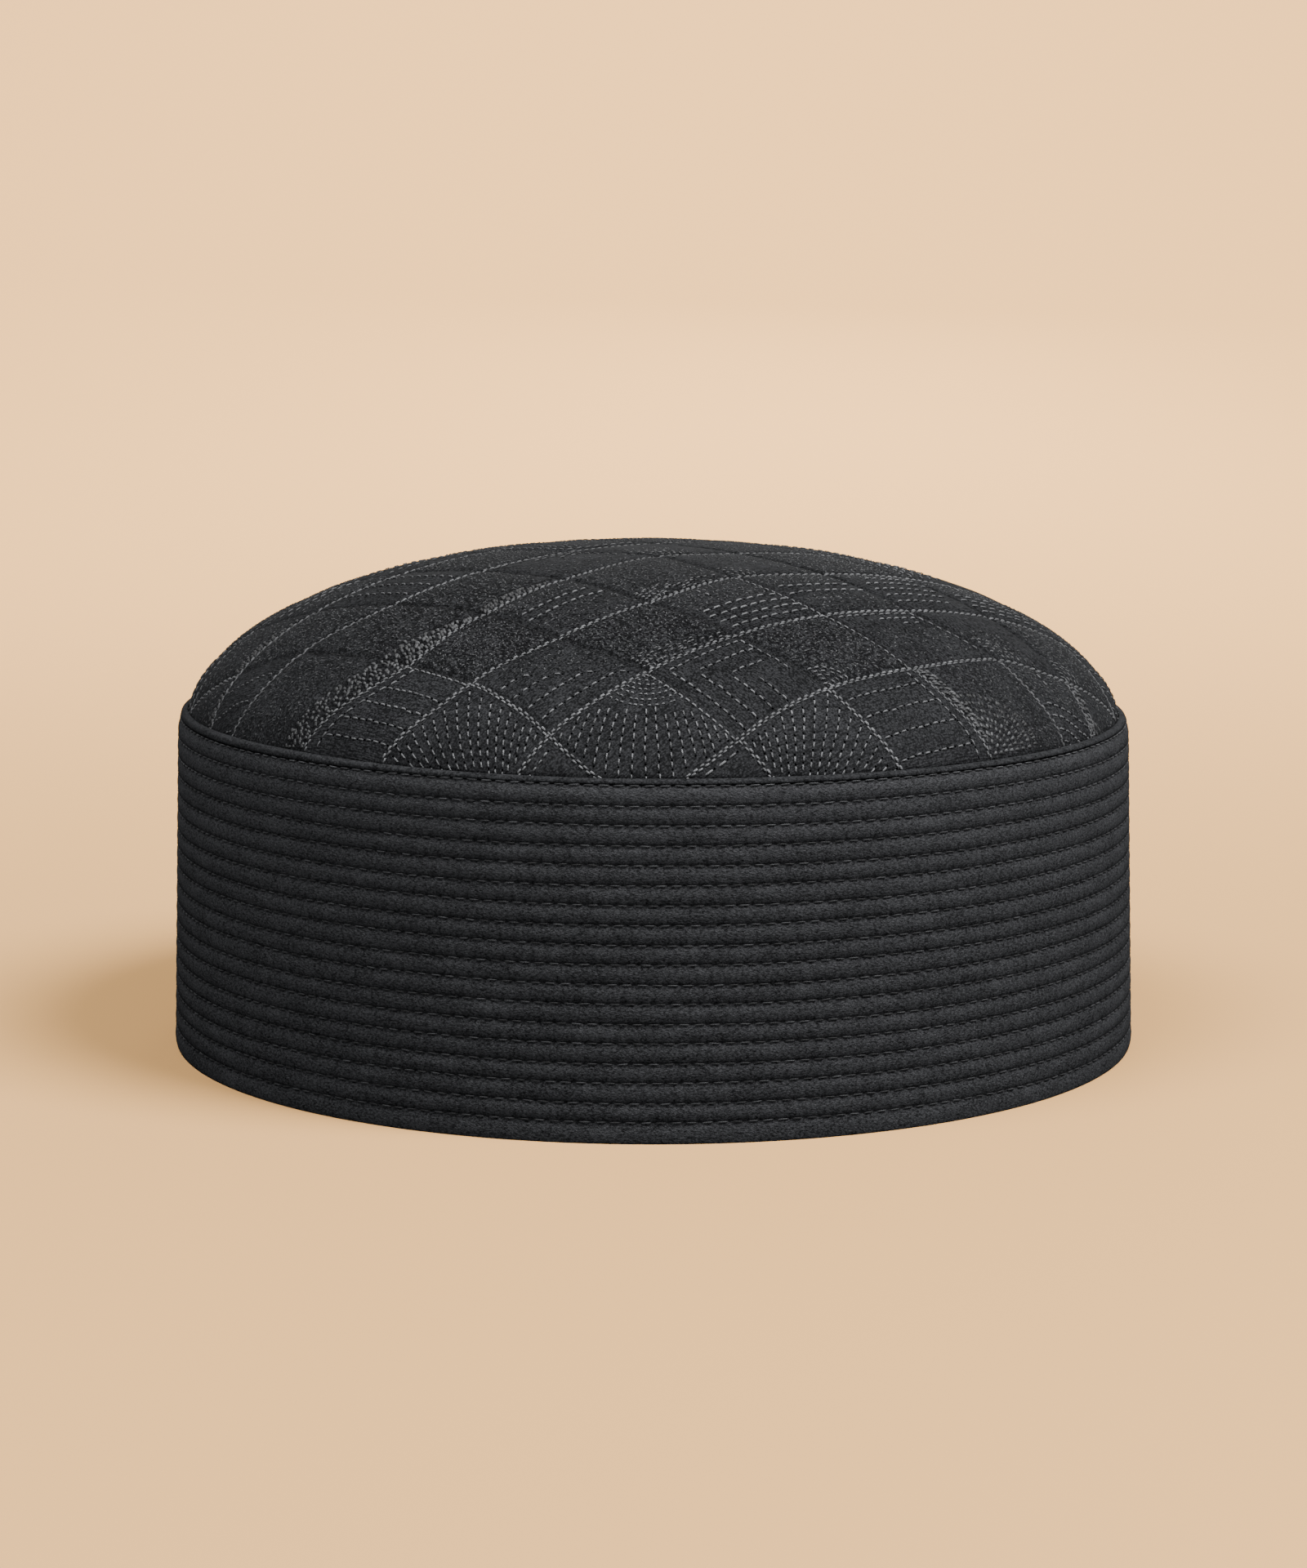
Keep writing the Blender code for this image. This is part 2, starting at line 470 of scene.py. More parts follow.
# Every stitch is a short tapered strand from start to end over a surface, its ends dipping into it
def buildStitches(name, stitches, heights, surface, material, form=threadForm):
    starts, ends, widths, glows = stitches
    shares, girths, rises = (np.array(row) for row in form)
    sides, rings, count = threadSides, len(shares), len(starts)
    step = ends - starts
    turn = (np.arange(sides) + 0.5) / sides * fullTurn
    middle = starts[:, None, :] + step[:, None, :] * shares[None, :, None]
    offset = widths[:, None, None] / 2 * girths[None, :, None] * np.cos(turn)
    place = middle[:, :, None, :] + leftOf(step)[:, None, None, :] * offset[..., None]
    section = rises[None, :, None] + 0.5 * girths[None, :, None] * np.sin(turn)
    lift = np.broadcast_to(heights, count)[:, None, None] * section
    points = surface(place[..., 0], place[..., 1], lift).reshape(-1, 3)
    first = np.arange(count)[:, None, None] * rings * sides
    ring = np.arange(rings - 1)[None, :, None] * sides
    side, nextSide = np.arange(sides), (np.arange(sides) + 1) % sides
    low, high = first + ring, first + ring + sides
    walls = np.stack([low + side, low + nextSide, high + nextSide, high + side], axis=-1)
    caps = np.concatenate([(first[:, 0] + side[::-1]), (first[:, 0] + (rings - 1) * sides + side)])
    along = shares[None, :, None] * np.linalg.norm(step, axis=1)[:, None, None] + 0 * lift
    around = np.broadcast_to(turn / fullTurn, lift.shape)
    corners = np.stack([along, around], axis=-1).reshape(-1, 2)
    values = {"glow": np.repeat(glows, rings * sides)}
    makePiece(name, points, [walls.reshape(-1, 4), caps], material, corners, values)


def bandSurface(across, up, lift):
    angle, rib = across / bandCut["rimRadius"], up / bandCut["pitch"]
    return bandPoint(angle, rib, lift + bandSewing["stand"], sunk=True)


def buildBandStitches():
    rng = np.random.default_rng(31)
    count, clearFrom = bandSewing["stitches"], bandCut["ribs"] - bandSewing["clearRows"]
    starts, ends, glows = [], [], []
    for row in range(1, bandCut["ribs"] + 1):
        middle = (np.arange(count) + 0.5 - stitchPhase[row]) * stitchPitch
        reach = bandSewing["length"] / 2 * rng.uniform(0.93, 1.05, count)
        shift = rng.normal(0, 0.05, count)
        tilt = rng.normal(0, 0.035, count)
        level = row * bandCut["pitch"]
        starts.append(np.stack([middle - reach + shift, level - tilt], axis=-1))
        ends.append(np.stack([middle + reach + shift, level + tilt], axis=-1))
        # painted highlight on the top rows' thread
        if row > clearFrom:
            glows.append(rng.uniform(*bandSewing["litGlow"], count))
        else:
            glows.append(rng.uniform(*bandSewing["dimGlow"], count) ** 1.4)
    starts, ends = np.concatenate(starts), np.concatenate(ends)
    widths = bandSewing["width"] * rng.uniform(0.88, 1.1, len(starts))
    stitches = starts, ends, widths, np.concatenate(glows)
    buildStitches("bandStitches", stitches, bandSewing["height"], bandSurface, bandThread)


buildBandStitches()


# Welt: the narrow fold over the band's raw edge
weltCut = {
    "columns": 872,
    "top": weltHigh.z / (1 + bandCut["lean"]),
    "base": 64.55,  # its height is measured from here
    "foot": 64.32,  # and its lower edge lies here, a little way under the top row of stitches
    "slump": 0.32,  # share of the height lost in front and on the right, where the fold lies flatter
    "slumpTurn": 0.75,
    "lean": 1.2,
    "swell": 0.22,
    "steps": 9,
    "ripple": 0.05,
    "tug": (0.12, 0.8),  # how deep each stitch pulls the foot in, and how far along
    "footShade": 0.5,
    "clear": 0.65,  # how far its back stands out past the seam, where the crown swells against it
}


def buildWelt():
    columns, steps, foot = weltCut["columns"], weltCut["steps"], weltCut["foot"]
    angle = np.arange(columns) / columns * fullTurn
    along = holeDistance(angle, np.full(columns, float(bandCut["ribs"])))[0]
    tugDepth, tugReach = weltCut["tug"]
    tug = near(along, tugReach)
    face, back = grooveRadius(foot), crownHigh.x + weltCut["clear"]
    ripple = weltCut["ripple"] * waver(angle, 41, (5, 11, 23))
    flatter = 0.5 + 0.5 * np.tanh((np.cos(angle - weltCut["slumpTurn"]) - 0.25) * 4)
    tall = (weltCut["top"] - weltCut["base"]) * (1 - weltCut["slump"] * flatter)
    sections = [(back, foot, 0.0)]
    for step in range(steps + 1):
        share = step / steps
        rise = tall * np.sin(share * math.pi / 2) * (1 + ripple * share)
        out = face - weltCut["lean"] * share ** 2 + weltCut["swell"] * math.sin(math.pi * share ** 0.8)
        out = out - tugDepth * tug * (1 - share) ** 2 + ripple * 0.6 * share
        sections.append((out, foot + rise, weltCut["footShade"] * max(0.0, 1 - share * 5)))
    for share, drop in ((0.5, 0.04), (0.9, 0.22), (1.0, 0.55)):
        inward = (face - weltCut["lean"]) * (1 - share) + back * share
        sections.append((inward, foot + tall * (1 - drop), 0.0))
    points = np.concatenate([roundCap(radius, z, angle) for radius, z, _ in sections])
    # Painted shade along the welt's foot, under the fold, deepened where each stitch tugs it in
    paintedShade = np.repeat([shade for _, _, shade in sections], columns)
    paintedShade[columns:2 * columns] += 0.25 * tug
    faces = ringFaces(len(sections), columns)
    piece = makePiece("weltFold", points, [faces], weltShadedFelt, values={"paintedShade": paintedShade})
    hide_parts("top_welt")


buildWelt()


# Crown: one round of cloth shaped to a superellipse dome, quilted in diamonds
crownCut = {
    "radius": 92.1,
    "foot": 62.3,
    "rise": crownHigh.z - 62.3,
    "sidePower": 2.21,
    "topPower": 1.87,
    "wall": 2.0,
    "seamRadius": crownHigh.x,
    "bulge": 0.62,  # how far the cloth swells past the seam before it tucks in behind the welt
    "tuckHeight": 65.3,
    "tuckLength": 0.9,
    "allowanceFoot": crownLow.z + 0.6,
    "grid": 280,
    "insideRings": 7,
}


# The dome's outline as a table of arc length, radius, height and outward normal, from top to edge
def crownOutline(radius, rise, edgeRadius, steps=2400):
    turn = np.linspace(0, math.asin((edgeRadius / radius) ** (crownCut["sidePower"] / 2)), steps)
    r = radius * np.sin(turn) ** (2 / crownCut["sidePower"])
    z = crownCut["foot"] + rise * np.cos(turn) ** (2 / crownCut["topPower"])
    drop = np.arange(z[-1], crownCut["allowanceFoot"], -0.05)[1:]
    tucked = edgeRadius - crownCut["bulge"] * eased(crownCut["tuckHeight"] - drop, 0, crownCut["tuckLength"])
    r, z = np.append(r, tucked), np.append(z, drop)
    arc = np.concatenate([[0], np.cumsum(np.hypot(np.diff(r), np.diff(z)))])
    outR, outZ = -np.gradient(z, arc), np.gradient(r, arc)
    size = np.hypot(outR, outZ)
    return arc, r, z, outR / size, outZ / size


outline = crownOutline(crownCut["radius"], crownCut["rise"], crownCut["seamRadius"] + crownCut["bulge"])
edgeArc = float(outline[0][-1])
seamArc = float(edgeArc - np.interp(crownCut["tuckHeight"], outline[2][::-1], (edgeArc - outline[0])[::-1]))


# A place on the crown from flat cloth coordinates, measured from the top: u to the right, v to the back
def crownPoint(u, v, lift):
    rho = np.maximum(np.hypot(u, v), 1e-6)
    arc, r, z, outR, outZ = outline
    radius = np.interp(rho, arc, r) + lift * np.interp(rho, arc, outR)
    height = np.interp(rho, arc, z) + lift * np.interp(rho, arc, outZ)
    x, y = radius * u / rho, radius * v / rho
    return np.stack([x, y, leaning(x, height)], axis=-1)


# Diamond lattice
lattice = {
    "halfWidth": 16.5,
    "halfHeight": 14.2,
    "originU": -0.35,
    "originV": -20.8,  # the lattice corner nearest the top, a little in front of it
    "turn": -0.013,
    "pullReach": 13.0,
    "sewnEdge": 86.0,
    "sewnBlend": 6.0,
    "grooveDepth": 0.26,
    "grooveReach": 0.4,
    "channelDepth": 0.2,
    "channelReach": 0.95,
    "puff": 0.4,
    "puffReach": 3.2,
    "fadeOut": 6.0,
}
# Corners that the seam has pulled out of true: column, row, then the pull in u and in v, to half a mm
pulledCorners = np.array([
    (0, 0, 1, 6), (1, 1, -0.5, 2.5), (3, 1, 0, -1), (-2, 2, 2, -1.5), (0, 2, 0, -1.5), (-1, 3, -0.5, -2),
    (-3, 3, 4.5, -2.5), (3, 3, 0, 0.5), (-2, 4, 0, 1.5), (2, 4, 0.5, 1), (-1, 5, -1, 0.5), (1, 5, 0, -1),
    # beside the seam
    (-4, 2, -1.5, 5), (-5, 3, -7, 7.5), (-4, 4, -3, 3.5), (-3, 5, -3, 5), (-0.5, 5.5, -2, -2),
    (0.5, 5.5, 2, 0), (3, 5, 2, 2), (4, 4, 2.5, 2.5), (4, 2, 1, 4), (5, 3, 4, 6.5),
])
turnCos, turnSin = math.cos(lattice["turn"]), math.sin(lattice["turn"])
tileSide = math.hypot(lattice["halfWidth"], lattice["halfHeight"])
tileSpread = math.atan2(lattice["halfWidth"], lattice["halfHeight"])
lineGap = 2 * lattice["halfWidth"] * lattice["halfHeight"] / tileSide


def trueCloth(column, row):
    along, up = lattice["halfWidth"] * column, -lattice["halfHeight"] * row
    u = lattice["originU"] + turnCos * along - turnSin * up
    return u, lattice["originV"] + turnSin * along + turnCos * up


def pullAt(u, v):
    pullU, pullV = np.zeros_like(u), np.zeros_like(v)
    for column, row, alongU, alongV in pulledCorners:
        cornerU, cornerV = trueCloth(column, row)
        weight = near(np.hypot(u - cornerU, v - cornerV), lattice["pullReach"])
        pullU, pullV = pullU + alongU * weight, pullV + alongV * weight
    return pullU, pullV


# Lattice places may be fractions of a column or row
def clothAt(column, row):
    u, v = trueCloth(np.asarray(column, dtype=float), np.asarray(row, dtype=float))
    pullU, pullV = pullAt(u, v)
    return u + pullU, v + pullV


# The other way round, by closing in on the place
def latticeAt(u, v):
    trueU, trueV = u, v
    for _ in range(9):
        pullU, pullV = pullAt(trueU, trueV)
        trueU, trueV = u - pullU, v - pullV
    offU, offV = trueU - lattice["originU"], trueV - lattice["originV"]
    column = (turnCos * offU + turnSin * offV) / lattice["halfWidth"]
    return column, -(turnCos * offV - turnSin * offU) / lattice["halfHeight"]


# Falling lines run down to the right and rising lines up to the right; both are whole numbers here
def linesAt(column, row):
    return (column - row) / 2, (column + row) / 2


# The falling lines are bare dark creases in the middle of the crown, and sewn bright near its edge
def creased(u, v):
    return np.clip((lattice["sewnEdge"] - np.hypot(u, v)) / lattice["sewnBlend"], 0, 1)


def crownRelief(u, v):
    toFalling, toRising = (np.abs(line - np.rint(line)) * lineGap for line in linesAt(*latticeAt(u, v)))
    bare = creased(u, v)
    crease = bare * near(toFalling, lattice["grooveReach"])
    sewnFalling = near(toFalling, lattice["channelReach"]) * (1 - bare)
    channel = np.maximum(near(toRising, lattice["channelReach"]), sewnFalling)
    height = lattice["puff"] * (1 - np.exp(-np.minimum(toFalling, toRising) / lattice["puffReach"]))
    height = height - lattice["grooveDepth"] * crease - lattice["channelDepth"] * channel
    return height * np.clip((seamArc - np.hypot(u, v)) / lattice["fadeOut"], 0, 1), crease, channel


def crownSurface(u, v, lift):
    return crownPoint(u, v, lift + crownRelief(u, v)[0])


# Near the top and towards the sides the thread is made lower and duller; in between it stands up fully and is
# brightest
def dimTopAndSides(places, least=0.4, sideLoss=0.38):
    top = least + (1 - least) * eased(np.hypot(places[..., 0], places[..., 1]), 20, 54)
    return top * (1 - sideLoss * eased(np.abs(places[..., 0]), 34, 78))


crownLook = {
    "dark": (0.0022, 0.0023, 0.0026),
    "light": (0.0415, 0.0423, 0.0452),
    # painted shade: near-black for the bare creases, the channels and the ground between packed stitches
    "crease": (0.0004, 0.0004, 0.0005),
    "bump": 0.75,
    "bumpHigh": 0.0003,
    # painted light: the cloth is made paler towards the seam, against the shade where the dome turns away
    # from the light
    "pale": {"Start": 0.088, "End": 0.067, "Amount": 0.15},  # in metres up: paler towards the seam
    "hatch": {"Length": 1.9, "Width": 0.42, "Stray": 0.2},
    "hatchAngle": 0.71,
    "hatchStrength": 0.3,
    "moss": {"Length": 0.95, "Width": 0.56, "Stray": 2.6, "Angle": 0.4},
    "mossStrength": 0.72,
}


def buildCrownCloth(look):
    material, tree, shader = newMaterial("crownCloth")
    place, cloth = tree.place(), tree.cloth()
    lint = tree.use(crumb, Place=place, Fineness=2600.0, Fleck=0.6)
    rising = tree.use(grains, Cloth=cloth, Angle=-look["hatchAngle"], **look["hatch"])
    falling = tree.use(grains, Cloth=cloth, Angle=look["hatchAngle"], **look["hatch"])
    mossy = tree.use(grains, Cloth=cloth, **look["moss"])
    turned, moss = tree.painted("hatchTurn"), tree.painted("moss")
    height, shade = (
        tree.mixValues(moss, tree.mixValues(turned, rising[label], falling[label]), mossy[label])
        for label in ("Height", "Shade")
    )
    gain = look["mossStrength"] - look["hatchStrength"]
    strength = tree.calc("MULTIPLY_ADD", moss, gain, look["hatchStrength"])
    raised = tree.calc("MULTIPLY", tree.calc("SUBTRACT", shade, 0.42), strength)
    tone = tree.calc("MULTIPLY_ADD", lint["Tone"], 0.8, raised, clamp=True)
    paler = tree.use(paintedLightByHeight, Place=place, **look["pale"])
    tone = tree.calc("ADD", tone, paler["Tone"], clamp=True)
    colour = tree.mix(tone, look["dark"], look["light"])
    height = tree.calc("MULTIPLY_ADD", lint["Height"], 0.45, tree.calc("MULTIPLY", height, strength))
    tree.fill(shader, {
        "Base Color": tree.mix(tree.painted("crease"), colour, look["crease"]),
        "Roughness": tree.calc("MULTIPLY_ADD", lint["Tone"], 0.15, 0.82),
        "Specular IOR Level": 0.05,
        "Normal": tree.bump(height, look["bump"], look["bumpHigh"]),
    })
    return material


crownCloth = buildCrownCloth(crownLook)


# Embroidery chart
# A tile is a diamond between four lattice corners. Inside it, rise runs from its left corner to its top one
# and fall from its left corner to its bottom one, both from 0 to 1. Stitches are measured in mm.
motifSewing = {
    "dash": 1.3, "gap": 0.55, "width": 0.43,
    "glow": {"bright": (0.42, 0.95), "dim": (0.1, 0.85), "scale": (0.12, 0.5)},
}
fanSewing = {"rays": 10, "dash": 1.25, "gap": 0.58, "width": 0.4, "margin": 0.035}
seedSewing = {"length": 0.9, "width": 0.34, "pitch": 1.15, "margin": 0.05}
scaleSewing = {"step": 0.88, "length": 1.15, "between": 1.05, "width": 0.76, "spread": 0.9}
embroidery = {"bright": [], "dim": [], "scale": []}


class Tile:
    def __init__(self, column, row, flipped, seed):
        self.column, self.row, self.flipped = column, row, flipped
        self.rng = np.random.default_rng(seed)

    def cloth(self, rise, fall):
        column = self.column - 1 + rise + fall
        row = self.row + (rise - fall) * (1 if self.flipped else -1)
        return np.stack(clothAt(column, row), axis=-1)

    def sew(self, kind, starts, ends, width, shine=1.0):
        starts, ends = self.cloth(*np.transpose(starts)), self.cloth(*np.transpose(ends))
        middles = (starts + ends) / 2
        widths = width * self.rng.uniform(0.88, 1.12, len(starts))
        glows = shine * self.rng.uniform(*motifSewing["glow"][kind], len(starts)) * dimTopAndSides(middles, 0.34)
        kept = np.hypot(*middles.T) < seamArc + 0.3
        embroidery[kind].append((starts[kept], ends[kept], widths[kept], glows[kept]))

    # A straight row of dashes between two places in the tile
    def dashes(self, start, end, dash=motifSewing["dash"], gap=motifSewing["gap"], width=motifSewing["width"],
               kind="bright", stray=0.004, shine=1.0):
        length = math.dist(start, end) * tileSide
        count = max(1, int((length + gap) / (dash + gap)))
        spare = (length - count * dash - (count - 1) * gap) / count
        first = np.arange(count) * (dash + gap + spare) / length
        a, b = np.array(start, dtype=float), np.array(end, dtype=float)
        shift = self.rng.normal(0, stray, (count, 2))
        starts, ends = (a + share[:, None] * (b - a) + shift for share in (first, first + dash / length))
        self.sew(kind, starts, ends, width, shine)

    # Rows along rise or along fall, side by side: where each crosses the other way, its low and its high end
    def rows(self, along, lines, **sewing):
        for place, low, high in lines:
            start, end = ((low, place), (high, place)) if along == "rise" else ((place, low), (place, high))
            self.dashes(start, end, **sewing)

    # A place so far below the top corner, or above the bottom one, and so far to the right of it
    def fromCorner(self, corner, distance, across):
        along, across = distance / lattice["halfHeight"] / 2, across / lattice["halfWidth"] / 2
        if corner == "top":
            return np.stack([1 - along + across, along + across], axis=-1)
        return np.stack([along + across, 1 - along + across], axis=-1)

    # Places round a corner, each given by its distance in mm and its lean in radians
    def radial(self, corner, places):
        return [self.fromCorner(corner, reach * np.cos(lean), reach * np.sin(lean)) for reach, lean in places]

    # A fan of nearly parallel rays: so far apart at the corner, and spread by a share of the distance
    def fan(self, corner, between, spread, start=0.0):
        dash, gap, margin = (fanSewing[key] for key in ("dash", "gap", "margin"))
        for ray in range(-fanSewing["rays"], fanSewing["rays"] + 1):
            first = start + self.rng.uniform(0, dash + gap)
            distance = np.arange(first, 2 * lattice["halfHeight"], dash + gap)
            distance = distance + self.rng.normal(0, 0.08, len(distance))
            drift = self.rng.normal(0, 0.07, len(distance))
            starts, ends = (
                self.fromCorner(corner, reach, ray * (between + spread * reach) + drift)
                for reach in (distance, distance + dash)
            )
            inside = np.minimum(starts, ends).min(axis=1) > margin
            inside &= np.maximum(starts, ends).max(axis=1) < 1 - margin
            self.sew("bright", starts[inside], ends[inside], fanSewing["width"])

    # Leans of so many stitches spread over a corner
    def leans(self, count, spread):
        even = 2 * (np.arange(count) + 0.5) / count - 1
        return tileSpread * spread * even + self.rng.normal(0, 0.02, count)

    # Rings round a corner, sewn along the ring; each is its distance from the corner
    def arcs(self, corner, distances, dash=1.0, gap=0.55, spread=0.86, width=0.34, shine=1.0):
        for distance in distances:
            lean = self.leans(max(2, int(2 * tileSpread * spread * distance / (dash + gap))), spread)
            half = dash / 2 / distance
            places = self.radial(corner, [(distance, lean - half), (distance, lean + half)])
            self.sew("bright", *places, width, shine)

    # Rings of scales round a corner, each pointing away from it
    def shell(self, corner, distances, shine):
        spread = scaleSewing["spread"]
        for distance in distances:
            lean = self.leans(int(2 * tileSpread * spread * distance / scaleSewing["step"]), spread)
            places = self.radial(corner, [(distance, lean), (distance + scaleSewing["length"], lean)])
            self.sew("scale", *places, scaleSewing["width"], shine)

    # Short seed stitches all over the part of the tile that the test keeps
    def seeds(self, keep=None, density=1.0):
        side, margin = int(tileSide / seedSewing["pitch"] * math.sqrt(density)), seedSewing["margin"]
        rise, fall = (grid.ravel() for grid in np.meshgrid(*[(np.arange(side) + 0.5) / side] * 2))
        rise, fall = (value + self.rng.uniform(-0.55, 0.55, side * side) / side for value in (rise, fall))
        kept = (np.minimum(rise, fall) > margin) & (np.maximum(rise, fall) < 1 - margin)
        if keep is not None:
            kept &= keep(rise, fall)
        at = np.stack([rise[kept], fall[kept]], axis=-1)
        lean = self.rng.uniform(0, fullTurn, len(at))
        reach = seedSewing["length"] / 2 / tileSide * self.rng.uniform(0.6, 1.25, len(at))
        half = np.stack([np.cos(lean), np.sin(lean)], axis=-1) * reach[:, None]
        self.sew("dim", at - half, at + half, seedSewing["width"])

    # Plump packed stitches beside an edge; where the band tapers, its rows end one after another
    def scales(self, edge, rows, high=0.98, taper=0.0, shine=1.0):
        step, length, between = (scaleSewing[key] / tileSide for key in ("step", "length", "between"))
        low = 0.02
        for line in range(rows):
            end = high - taper * line / max(1, rows - 1) * (high - low)
            place = np.arange(low + (line % 2) * step / 2, end, step)
            count = len(place)
            place, lean = place + self.rng.normal(0, 0.011, count), self.rng.normal(0.034, 0.018, count)
            across = 0.03 + line * between + self.rng.normal(0, 0.007, count)
            reach = length * self.rng.uniform(0.6, 0.95, count)
            if edge == "lowerLeft":
                starts, ends = [across, place], [across + reach, place + lean]
            else:
                starts, ends = [place, 1 - across], [place + lean, 1 - across - reach]
            self.sew("scale", np.stack(starts, axis=-1), np.stack(ends, axis=-1), scaleSewing["width"], shine)


def fanFromTop(tile):
    tile.arcs("top", (1.6, 2.8, 4.0, 5.2, 6.4, 7.7, 9.0), dash=0.7, gap=0.42, spread=0.92, shine=1.15)
    tile.fan("top", 1.0, 0.052, start=9.0)


def fanFromBottom(tile):
    tile.fan("bottom", 0.85, 0.062)


def bentBars(tile):
    for place in (0.3, 0.48, 0.66, 0.84):
        tile.dashes((0.06, place), (place - 0.03, place))
        tile.dashes((place + 0.01, place + 0.01), (place + 0.08, place + 0.08))
    tile.seeds(lambda rise, fall: rise > fall + 0.08, density=0.6)


def chevrons(tile):
    tile.rows("rise", [(0.11, 0.12, 0.9), (0.27, 0.3, 0.9), (0.45, 0.48, 0.82)])
    tile.rows("fall", [(0.11, 0.15, 0.95), (0.27, 0.31, 0.94), (0.45, 0.5, 0.94), (0.61, 0.62, 0.94)])
    tile.rows("fall", [(0.92, 0.1, 0.64)])


def framedBarsRising(tile):
    tile.rows("rise", [(place, 0.05, 0.85) for place in (0.19, 0.4, 0.62, 0.85)])
    tile.rows("fall", [(0.875, 0.04, 0.96)])


def framedBarsFalling(tile):
    tile.rows("rise", [(0.135, 0.04, 0.96)])
    tile.rows("fall", [(place, 0.17, 0.95) for place in (0.16, 0.34, 0.52, 0.7)], dash=1.5)


def moss(tile):
    tile.seeds()


def mossAndBurst(tile):
    tile.seeds(lambda rise, fall: fall < 0.8)
    tile.rows("rise", [(0.95, 0.06, 0.95), (0.9, 0.05, 0.88), (0.85, 0.04, 0.66), (0.8, 0.03, 0.42)],
              dash=1.0, gap=0.7, stray=0.016, width=0.34, shine=0.6)
    tile.arcs("bottom", (1.6, 2.6, 3.6, 4.7), dash=0.7, gap=0.5, shine=0.75)


def mossAndArcs(tile):
    tile.seeds(lambda rise, fall: np.hypot(rise, 1 - fall) > 0.3)
    tile.arcs("bottom", (1.4, 2.5, 3.6, 4.7, 5.8), dash=1.1, gap=0.3, width=0.4, shine=0.8)


def plainAndArcs(tile):
    tile.seeds(lambda rise, fall: (fall > 0.45) & (rise < 0.6), density=0.7)
    tile.arcs("bottom", (3.0, 4.6, 6.2, 7.8), dash=0.9, gap=0.7)


def strongBars(tile):
    tile.rows("rise", [(0.5, 0.1, 0.96), (0.62, 0.06, 0.96), (0.75, 0.05, 0.96), (0.87, 0.05, 0.94)],
              dash=1.9, width=0.46)
    tile.rows("fall", [(0.42, 0.1, 0.26)])
    tile.seeds(lambda rise, fall: fall < 0.44)


def doubleBars(tile):
    tile.rows("rise", [(0.38, 0.1, 0.9), (0.54, 0.06, 0.93)], dash=1.5, width=0.44)
    tile.rows("rise", [(0.7, 0.1, 0.5)], kind="dim")
    tile.seeds(lambda rise, fall: fall < 0.32)
    tile.seeds(lambda rise, fall: fall > 0.6, density=0.5)


def plainWithFrame(tile):
    tile.rows("rise", [(0.09, 0.06, 0.86), (0.2, 0.42, 0.84), (0.31, 0.6, 0.82)], dash=1.3)
    tile.rows("fall", [(0.9, 0.08, 0.86)], dash=1.5)
    tile.seeds(lambda rise, fall: (fall > 0.4) & (rise < 0.85), density=0.35)


def scaledLeft(tile):
    tile.scales("lowerLeft", 2, high=0.8, shine=1.3)
    tile.shell("bottom", (1.3, 2.8, 4.3, 5.8, 7.3), shine=1.6)
    tile.shell("bottom", (9.0, 10.7, 12.4), shine=0.7)
    tile.seeds(lambda rise, fall: rise > 0.3, density=0.7)


def scaledRight(tile):
    tile.scales("lowerRight", 5)
    tile.seeds(lambda rise, fall: fall < 0.64)


def scaledTaper(tile):
    tile.scales("lowerRight", 5, high=0.9, taper=0.72)
    tile.seeds(lambda rise, fall: fall < 0.86 - 0.2 * (1 - rise))


def scaledThin(tile):
    tile.scales("lowerRight", 2, high=0.8, taper=0.3, shine=0.4)
    tile.seeds(lambda rise, fall: fall < 0.84, density=0.8)


def risingRows(tile):
    lines = [(0.2, 0.3, 0.9), (0.35, 0.15, 0.9), (0.5, 0.1, 0.85), (0.65, 0.08, 0.8), (0.8, 0.06, 0.7)]
    tile.rows("rise", lines, dash=1.2, gap=0.7)
    tile.seeds(lambda rise, fall: fall < 0.18)


def fallingRows(tile):
    tile.rows("fall", [(place, 0.08, 0.92) for place in (0.25, 0.5, 0.75)], dash=1.2, gap=0.9, shine=0.6)


def patchedCorner(tile):
    tile.arcs("bottom", (1.8, 3.2, 4.6, 6.0), dash=0.8, gap=0.6, shine=0.7)
    tile.seeds(lambda rise, fall: rise > fall - 0.1, density=0.7)


def feathered(tile):
    tile.rows("fall", [(place, 0.2, 0.95) for place in (0.14, 0.3, 0.46)], dash=1.2, gap=0.5)
    tile.rows("rise", [(0.1, 0.1, 0.9)])


def braidedRim(tile):
    tile.scales("lowerLeft", 2)
    tile.rows("rise", [(0.08, 0.1, 0.9)], dash=2.1, width=0.5)


# Which motif each tile carries in front: column and row of its middle
chart = {
    (0, 5): fanFromTop, (-2, 5): fanFromBottom, (2, 5): fanFromBottom, (4, 5): moss, (-4, 5): fallingRows,
    (-1, 4): bentBars, (1, 4): chevrons, (3, 4): framedBarsRising, (-3, 4): framedBarsFalling, (5, 4): moss,
    (0, 3): mossAndBurst, (2, 3): mossAndArcs, (-2, 3): moss, (4, 3): scaledLeft, (-4, 3): scaledRight,
    (-1, 2): doubleBars, (1, 2): strongBars, (3, 2): plainWithFrame, (-3, 2): scaledTaper, (5, 2): strongBars,
    (-5, 2): fallingRows, (0, 1): mossAndBurst, (2, 1): doubleBars, (-2, 1): scaledThin, (4, 1): plainAndArcs,
    (-4, 1): moss, (6, 1): scaledLeft, (-6, 1): scaledThin, (1, 0): patchedCorner, (-1, 0): plainWithFrame,
    (3, 0): risingRows, (-3, 0): fallingRows, (5, 0): mossAndArcs, (-5, 0): scaledThin, (1, 6): braidedRim,
    (-1, 6): feathered, (0, -1): plainAndArcs, (2, -1): moss, (-2, -1): moss, (4, -1): strongBars,
    (-4, -1): doubleBars,
}
